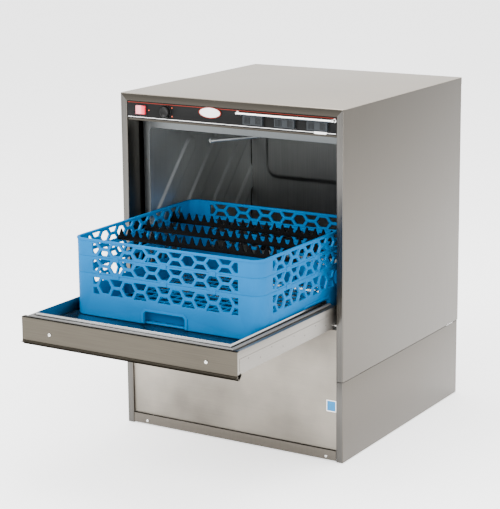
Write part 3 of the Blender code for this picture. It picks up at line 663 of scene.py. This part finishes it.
def ribbed_rocker(node):
    """A wide rocker with upright finger ribs on each half."""
    low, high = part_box(node)
    body = soften(frame["nodes"][node].data.copy(), 0.0006)
    middle = (low.x + high.x) / 2
    ribs = []
    for side in (-1, 1):
        for number in range(5):
            x = middle + side * (0.0085 + 0.0033 * number)
            slope = 0.0031 * abs(x - middle) / (0.5 * (high.x - low.x))
            y = low.y + 0.0031 - slope
            ribs.append(plate([rounded_rectangle(0.0007, 0.0080, 0.0006, 3)], "front",
                              (x, y - 0.0001, (low.z + high.z) / 2), 0.0014, 0.0003))
    piece(f"{node}_ribs", merged(node, ribs), "black", node, "black_plastic")
    return piece(f"{node}_face", body, "grip", node, "black_plastic", node)


def printed_bar(name, left, right, z, height, look):
    centre = ((left + right) / 2, PANEL_FACE - 0.00015, z)
    outline = rounded_rectangle((right - left) / 2, height / 2, height * 0.3, 2)
    return piece(name, plate([outline], "front", centre, 0.0003, 0.00005), look, "cabinet", "badge_enamel")


def build_control_panel():
    # The tray takes the darker flange steel: painted shade.
    refined("control_panel_tray", "flange", "cabinet", "stainless", 0.0006)
    refined("control_overlay", "overlay", "cabinet", "black_plastic")
    low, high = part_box("control_overlay")
    printed_bar("red_pinstripe", low.x + 0.002, high.x - 0.001, high.z - 0.0026, 0.0012, "red_print")
    printed_bar("white_pinstripe", low.x + 0.002, high.x - 0.001, low.z + 0.0034, 0.0012, "white_print")
    lens_low, lens_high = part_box("power_rocker")
    LOOKS["lens"] = lit_lens("lit_red_lens", lens_low.x, lens_high.x - lens_low.x)
    lens = soften(frame["nodes"]["power_rocker"].data.copy(), 0.0010, 3)
    piece("power_rocker_lens", lens, "lens", "power_rocker", "red_lens", "power_rocker")
    bezel("power_rocker", 0.0016, 0.0014)
    for name in ("left", "middle", "right"):
        ribbed_rocker(f"panel_rocker_{name}")
        bezel(f"panel_rocker_{name}", 0.0014, 0.0012)
    low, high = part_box("prime_rocker")
    centre = ((low.x + high.x) / 2, PANEL_FACE, (low.z + high.z) / 2)
    radius = (high.x - low.x) / 2
    cap = turned([(radius, -0.007), (radius, 0.0058), (radius * 0.95, 0.0074), (radius * 0.86, 0.0080),
                  (radius * 0.76, 0.0078), (radius * 0.62, 0.0066), (radius * 0.30, 0.0058), (0, 0.0056)],
                  centre, 48)
    piece("prime_rocker_cap", cap, "black", "prime_rocker", "black_plastic", "prime_rocker")
    ring = turned([(radius + 0.0034, 0.0004), (radius + 0.0032, 0.0014), (radius + 0.0024, 0.0019),
                   (radius + 0.0016, 0.0014), (radius + 0.0016, 0.0003)], centre, 48)
    ring = cut(ring, turned([(radius + 0.0015, -0.01), (radius + 0.0015, 0.02)], centre, 48))
    piece("prime_rocker_ring", ring, "black", "cabinet", "black_plastic")
    dots = [(lens_high.x + 0.0092, (lens_low.z + lens_high.z) / 2), (centre[0] + 0.0190, centre[2] + 0.0105),
            (centre[0] + 0.0190, centre[2] - 0.0100)]
    marks = [turned([(0.0014, 0.0003), (0.0013, 0.0007), (0, 0.0009)], (x, PANEL_FACE, z), 20)
             for x, z in dots]
    piece("panel_dots", merged("panel_dots", marks), "orange", "cabinet", "badge_enamel")
    build_badge()
    pill = (0.2455, PANEL_FACE - 0.0007, 0.7757)
    pill_outline = rounded_rectangle(0.0165, 0.0034, 0.0030)
    piece("blank_pill_label", plate([pill_outline], "front", pill, 0.0006, 0.0002),
          "white_print", "cabinet", "label_film")
    build_guard_bar()


def build_badge():
    low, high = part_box("blank_badge")
    half_u, half_v = (high.x - low.x) / 2, (high.z - low.z) / 2
    centre = ((low.x + high.x) / 2, high.y, (low.z + high.z) / 2)
    squash = half_v / half_u
    face = turned([(half_u * 0.93, 0), (half_u * 0.93, 0.0011), (half_u * 0.88, 0.0016),
                   (half_u * 0.5, 0.0019),
                   (0, 0.0020)], centre, 64, squash)
    piece("badge_face", face, "badge", "cabinet", "badge_enamel", "blank_badge")
    rim = plate([ellipse(half_u, half_v, 64), ellipse(half_u * 0.92, half_v * 0.86, 64)], "front",
                (centre[0], centre[1] - 0.0010, centre[2]), 0.0018, 0.0003)
    piece("badge_rim", rim, "red_print", "cabinet", "badge_enamel")


def build_guard_bar():
    low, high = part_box("switch_guard_bar")
    radius = (high.z - low.z) / 2
    z, reach, bend = (low.z + high.z) / 2, low.y + radius, 0.0065
    corners = [(low.x + radius, high.y, z), (low.x + radius, reach, z), (high.x - radius, reach, z),
               (high.x - radius, high.y, z)]
    flat = rounded_section([(x, y) for x, y, _ in corners], bend, 8)
    parts = [tube([(x, y, z) for x, y in flat], radius)]
    for x in (corners[0][0], corners[-1][0]):
        parts.append(turned([(radius * 1.5, 0), (radius * 1.5, 0.0008), (radius * 1.2, 0.0020),
                             (radius * 0.9, 0.0022),
                             (0, 0.0022)], (x, PANEL_FACE - GAP, z), 28))
    piece("switch_guard_rail", merged("switch_guard_rail", parts), "chrome", "cabinet", "polished_steel",
          "switch_guard_bar")


# ---------- door ----------

def build_door():
    refined("door_outer_shell", "door", "door", "stainless", 0.0006)
    refined("door_inner_liner", "pan", "door", "stainless", 0.0006)
    refined("door_gasket", "rubber", "door", "black_rubber", 0.0020, 4)
    refined("door_stiffener", "door", "door", "stainless")
    low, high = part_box("door_handle_strip")
    curl_r, top = 0.0075, high.z - 0.0003
    centre_z = low.z + curl_r + 0.0008
    section = [(low.y + 0.007, top), (low.y, top), (low.y, centre_z)]
    section = rounded_section(section, 0.0016, 3)
    turns = (math.radians(10 * step) for step in range(1, 21))
    section += [Vector((low.y + curl_r - curl_r * math.cos(a), centre_z - curl_r * math.sin(a)))
                for a in turns]
    strip = bent_sheet(section, "X", low.x, high.x, 1, 0.0, 0.0012)
    # The strip takes the darker strip steel: painted shade.
    piece("door_handle_strip_curl", strip, "strip", "door", "stainless", "door_handle_strip")
    for name in ("left", "right"):
        node = f"handle_strip_screw_{name}"
        low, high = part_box(node)
        head = screw_head((low.x + high.x) / 2, (low.z + high.z) / 2, high.y, (high.x - low.x) / 2)
        piece(f"{node}_head", head, "chrome", "door", "polished_steel", node)
    welds, seams = [], []
    for side in (-1, 1):
        face = side * DOOR_HIGH.x
        seam_y = (DOOR_LOW.y + 0.010 + DOOR_HIGH.y - 0.040) / 2
        half_y = (DOOR_HIGH.y - DOOR_LOW.y - 0.050) / 2
        seams.append(plate([rounded_rectangle(half_y, 0.0145, 0.002)], "right",
                           (face + side * 0.0004, seam_y, 0.3450),
                           0.0007, 0.0002))
        for number in range(8):
            y = DOOR_LOW.y + 0.045 + number * 0.048
            dimple = turned([(0.0017, 0), (0.0015, 0.0003), (0, 0.0004)], (0, 0, 0), 14)
            turn = Matrix.Rotation(math.radians(90 * side), 4, "Z")
            spot = Matrix.Translation((face + side * 0.0007, y, 0.3530 - 0.0105 * (number % 2)))
            welds.append(moved(dimple, spot @ turn))
    piece("door_side_doublers", merged("door_side_doublers", seams), "door", "door", "stainless")
    piece("door_spot_welds", merged("door_spot_welds", welds), "weld", "door", "stainless")


# ---------- rack ----------

def clipped(polygon, limit, axis, sign):
    """The part of a convex polygon on one side of an upright or level line."""
    kept = []
    for here, after in zip(polygon, polygon[1:] + polygon[:1]):
        inside, next_inside = sign * (here[axis] - limit) >= 0, sign * (after[axis] - limit) >= 0
        if inside:
            kept.append(here)
        if inside != next_inside:
            share = (limit - here[axis]) / (after[axis] - here[axis])
            kept.append(tuple(here[k] + (after[k] - here[k]) * share for k in (0, 1)))
    return kept


def honeycomb(half_width, low, high, strut, first):
    """Openings of a honeycomb strip: whole hexagons take turns with pairs of halves one above the other."""
    height = high - low
    side = HONEYCOMB_PITCH / 1.5
    count = int(half_width / HONEYCOMB_PITCH) + 2
    inset_u, inset_v = 1 - strut / (math.sqrt(3) * side), 1 - strut / height
    cells = []
    for column in range(-count, count + 1):
        whole = (column + first) % 2 == 0
        for centre_v in ([(low + high) / 2] if whole else [low, high]):
            cell = [(column * HONEYCOMB_PITCH + inset_u * side * math.cos(math.radians(60 * k)),
                     centre_v + inset_v * height / math.sqrt(3) * math.sin(math.radians(60 * k)))
                     for k in range(6)]
            for limit, axis, sign in ((-half_width, 0, 1), (half_width, 0, -1), (low, 1, 1), (high, 1, -1)):
                cell = clipped(cell, limit, axis, sign)
            if len(cell) > 2:
                spans = [max(p[k] for p in cell) - min(p[k] for p in cell) for k in (0, 1)]
                if min(spans) > 0.004:
                    cells.append(cell)
    return cells


def four_sides():
    """The turn that carries the rack's front side to each of its four sides."""
    middle = Matrix.Translation((0, RACK_Y, 0))
    return [middle @ Matrix.Rotation(math.radians(90 * k), 4, "Z") for k in range(4)]


def on_each_side(build):
    """Copies of a mesh drawn for the front side, whose wall stands at -RACK_HALF, on all four sides."""
    return merged("sides", [moved(build(), turn) for turn in four_sides()])


def rack_ring(low, high, outer, wall, bevel):
    outline = rounded_rectangle(outer, outer, RACK_R, 10)
    inside = rounded_rectangle(outer - wall, outer - wall, RACK_R - wall, 10)
    return plate([outline, inside], "up", (0, RACK_Y, (low + high) / 2), high - low, bevel)


def build_tier(node, sill, top_rail, first):
    low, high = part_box(node)
    cells = honeycomb(0.195, low.z + sill, high.z - top_rail, HONEYCOMB_STRUT, first)
    through = (-RACK_HALF - 0.004, -RACK_HALF + RACK_WALL + 0.004)
    tools = on_each_side(lambda: merged("cells", [prism(cell, "Y", *through) for cell in cells]))
    wall = rack_ring(low.z, high.z, RACK_HALF, RACK_WALL, 0.0)
    wall = cut(wall, tools)
    if node == "rack_base":
        grip = [(-0.055, low.z - 0.01), (0.055, low.z - 0.01), (0.055, low.z + 0.024), (0.050, low.z + 0.029),
                (-0.050, low.z + 0.029), (-0.055, low.z + 0.024)]
        wall = cut(wall, on_each_side(lambda: prism(grip, "Y", *through)))
    piece(f"{node}_honeycomb", soften(wall, 0.0007), "blue", "rack", "rack_blue", node)


def comb_mesh(node):
    """A black divider comb with tapering spikes and rounded valleys."""
    low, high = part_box(node)
    half, count, samples = RACK_HALF - RACK_WALL - 0.0005, 22, 10
    foot, top = low.z, high.z
    valley, spike = foot + 0.010, top - foot - 0.010
    upper = []
    for step in range(count * samples + 1):
        wave = (1 - math.cos(2 * math.pi * step / samples)) / 2
        upper.append((half - 2 * half * step / (count * samples), valley + spike * wave ** 2.1))
    outline = [(-half, foot), (half, foot)] + upper
    return plate([outline], "front", (0, (low.y + high.y) / 2, 0), 0.004, 0.0005)


def grip_surround():
    """The raised lip over a hand grip, for the front side."""
    low = RACK_LOW.z
    lip = [(-0.062, low + 0.001), (-0.062, low + 0.027), (-0.054, low + 0.035), (0.054, low + 0.035),
           (0.062, low + 0.027), (0.062, low + 0.001), (0.0552, low + 0.001), (0.0552, low + 0.024),
           (0.0500, low + 0.0292), (-0.0500, low + 0.0292), (-0.0552, low + 0.024), (-0.0552, low + 0.001)]
    return plate([lip], "front", (0, -RACK_HALF - 0.0008, 0), 0.0028, 0.0008)


def grip_pocket():
    low = RACK_LOW.z
    back = -RACK_HALF + 0.016
    wall = prism([(-0.060, low + 0.0045), (0.060, low + 0.0045), (0.060, low + 0.036), (-0.060, low + 0.036)],
                 "Y", back, back + 0.003)
    roof = prism([(-0.060, low + 0.033), (0.060, low + 0.033), (0.060, low + 0.036), (-0.060, low + 0.036)],
                 "Y", -RACK_HALF + RACK_WALL, back)
    cheeks = [prism([(x, low + 0.0045), (x + 0.003, low + 0.0045), (x + 0.003, low + 0.033),
                     (x, low + 0.033)],
                    "Y", -RACK_HALF + RACK_WALL, back) for x in (-0.060, 0.057)]
    return merged("pocket", [wall, roof, *cheeks])


def build_rack():
    build_tier("rack_base", 0.052, 0.0085, 1)
    build_tier("rack_extender_lower", 0.0035, 0.0045, 0)
    build_tier("rack_extender_upper", 0.0035, 0.0060, 0)
    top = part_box("rack_extender_upper")[1].z
    bead = rack_ring(top - 0.0052, top + 0.0003, RACK_HALF + 0.0012, 0.0072, 0.0014)
    piece("rack_top_bead", bead, "blue", "rack", "rack_blue")
    piece("rack_grip_lips", on_each_side(grip_surround), "blue", "rack", "rack_blue")
    # The pockets take the darker blue: painted shade.
    piece("rack_grip_pockets", on_each_side(grip_pocket), "shadow_blue", "rack", "rack_blue")
    seams = [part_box("rack_base")[1].z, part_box("rack_extender_lower")[1].z]

    def tabs():
        shapes = [plate([rounded_rectangle(0.0085, 0.0058, 0.0035)], "front",
                        (x, -RACK_HALF - 0.0004, z - 0.0015), 0.0030, 0.0010) for x in (-0.130, 0.0, 0.130)
                        for z in seams]
        return merged("tabs", shapes)
    piece("rack_seam_tabs", on_each_side(tabs), "blue", "rack", "rack_blue")
    low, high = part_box("rack_floor_grid")
    half, cells = high.x - 0.0012, 15
    pitch = 2 * (half - 0.008) / cells
    holes = []
    for i in range(cells):
        for j in range(cells):
            centre = ((i - (cells - 1) / 2) * pitch, (j - (cells - 1) / 2) * pitch)
            if min(abs(centre[0]), abs(centre[1])) > half - 0.04:
                continue
            holes.append(rounded_rectangle(pitch / 2 - 0.002, pitch / 2 - 0.002, 0.003, 2, centre))
    grid = plate([rounded_rectangle(half, half, 0.024), *holes], "up", (0, RACK_Y, (low.z + high.z) / 2),
                 0.0034, 0.0005)
    piece("rack_floor_lattice", grid, "blue", "rack", "rack_blue", "rack_floor_grid")
    for name in ("front", "middle", "rear"):
        piece(f"rack_comb_{name}_spikes", comb_mesh(f"rack_comb_{name}"), "comb", "rack", "black_plastic",
              f"rack_comb_{name}")


# ---------- what stays as in CAD ----------

def finish_the_rest():
    """Every node that nothing stands for yet keeps its shape, with softened edges and its slot's finish."""
    # Chamber nodes take the lighter chamber steel: painted light.
    looks = {"stainless": "front", "chamber_stainless": "chamber", "polished_steel": "chrome",
             "rack_blue": "blue",
             "black_plastic": "black", "black_rubber": "rubber", "heater_sheath": "heater"}
    slots = {part["node"]: part["material_slot"] for part in frame["record"]["subparts"]}
    bodies = {node: body for body, nodes in frame["record"]["behaviour"]["bodies"].items() for node in nodes}
    for node in sorted(frame["nodes"]):
        if not frame["nodes"][node].hide_render:
            refined(node, looks[slots[node]], bodies[node], slots[node])


# ---------- stage ----------

def area_light(name, place, target, size, power, colour=(1, 1, 1)):
    lamp = bpy.data.lights.new(name, "AREA")
    lamp.shape, lamp.size, lamp.energy, lamp.color = "SQUARE", size, power, colour
    obj = bpy.data.objects.new(name, lamp)
    obj.location = place
    obj.rotation_euler = (Vector(target) - Vector(place)).to_track_quat("-Z", "Y").to_euler()
    bpy.context.scene.collection.objects.link(obj)


def build_stage():
    reach = 60.0
    floor = helper("floor", prism([(-reach, -reach), (reach, -reach), (reach, reach), (-reach, reach)], "Z",
                                  -0.05, -0.0004))
    graph = Graph("pale_floor", 0.9, 0.0)
    clouds = graph.noise((0.8, 0.8, 0.8))
    graph.link(graph.ramp(clouds, ((0.3, (0.93, 0.93, 0.93)), (0.7, (0.95, 0.95, 0.95)))),
               graph.shader.inputs["Base Color"])
    graph.shader.inputs["Emission Color"].default_value = (1.0, 1.0, 1.0, 1.0)
    graph.shader.inputs["Emission Strength"].default_value = 1.3
    floor.data.materials.append(graph.material)
    world = bpy.data.worlds.new("studio")
    bpy.context.scene.world = world
    world.use_nodes = True
    back = world.node_tree.nodes["Background"]
    back.inputs["Color"].default_value = (1.0, 1.0, 1.0, 1.0)
    back.inputs["Strength"].default_value = 2.0
    area_light("key", (-2.2, -3.4, 3.4), (0, 0, 0.4), 2.4, 260)
    area_light("top", (0.4, 0.6, 4.2), (0, 0, 0.5), 3.0, 200)
    area_light("chamber_fill", (2.6, -3.2, 1.1), (-0.25, -0.1, 0.6), 1.4, 110)


def build_camera():
    azimuth, elevation = math.radians(CAMERA_AZIMUTH), math.radians(CAMERA_ELEVATION)
    back = Vector((math.sin(azimuth) * math.cos(elevation), -math.cos(azimuth) * math.cos(elevation),
                   math.sin(elevation)))
    right = Vector((math.cos(azimuth), math.sin(azimuth), 0))
    level = Matrix((right, back.cross(right), back)).transposed()
    camera = bpy.data.cameras.new("camera")
    camera.sensor_width, camera.lens, camera.sensor_fit = SENSOR, CAMERA_LENS, "HORIZONTAL"
    camera.shift_x, camera.shift_y = CAMERA_SHIFT
    obj = bpy.data.objects.new("camera", camera)
    turn = level @ Matrix.Rotation(math.radians(CAMERA_ROLL), 3, "Z")
    obj.matrix_world = Matrix.Translation(CAMERA_PLACE) @ turn.to_4x4()
    bpy.context.scene.collection.objects.link(obj)
    bpy.context.scene.camera = obj


build_camera()
build_stage()
build_cabinet()
build_kick_panel()
build_chamber()
build_control_panel()
build_door()
build_rack()
finish_the_rest()
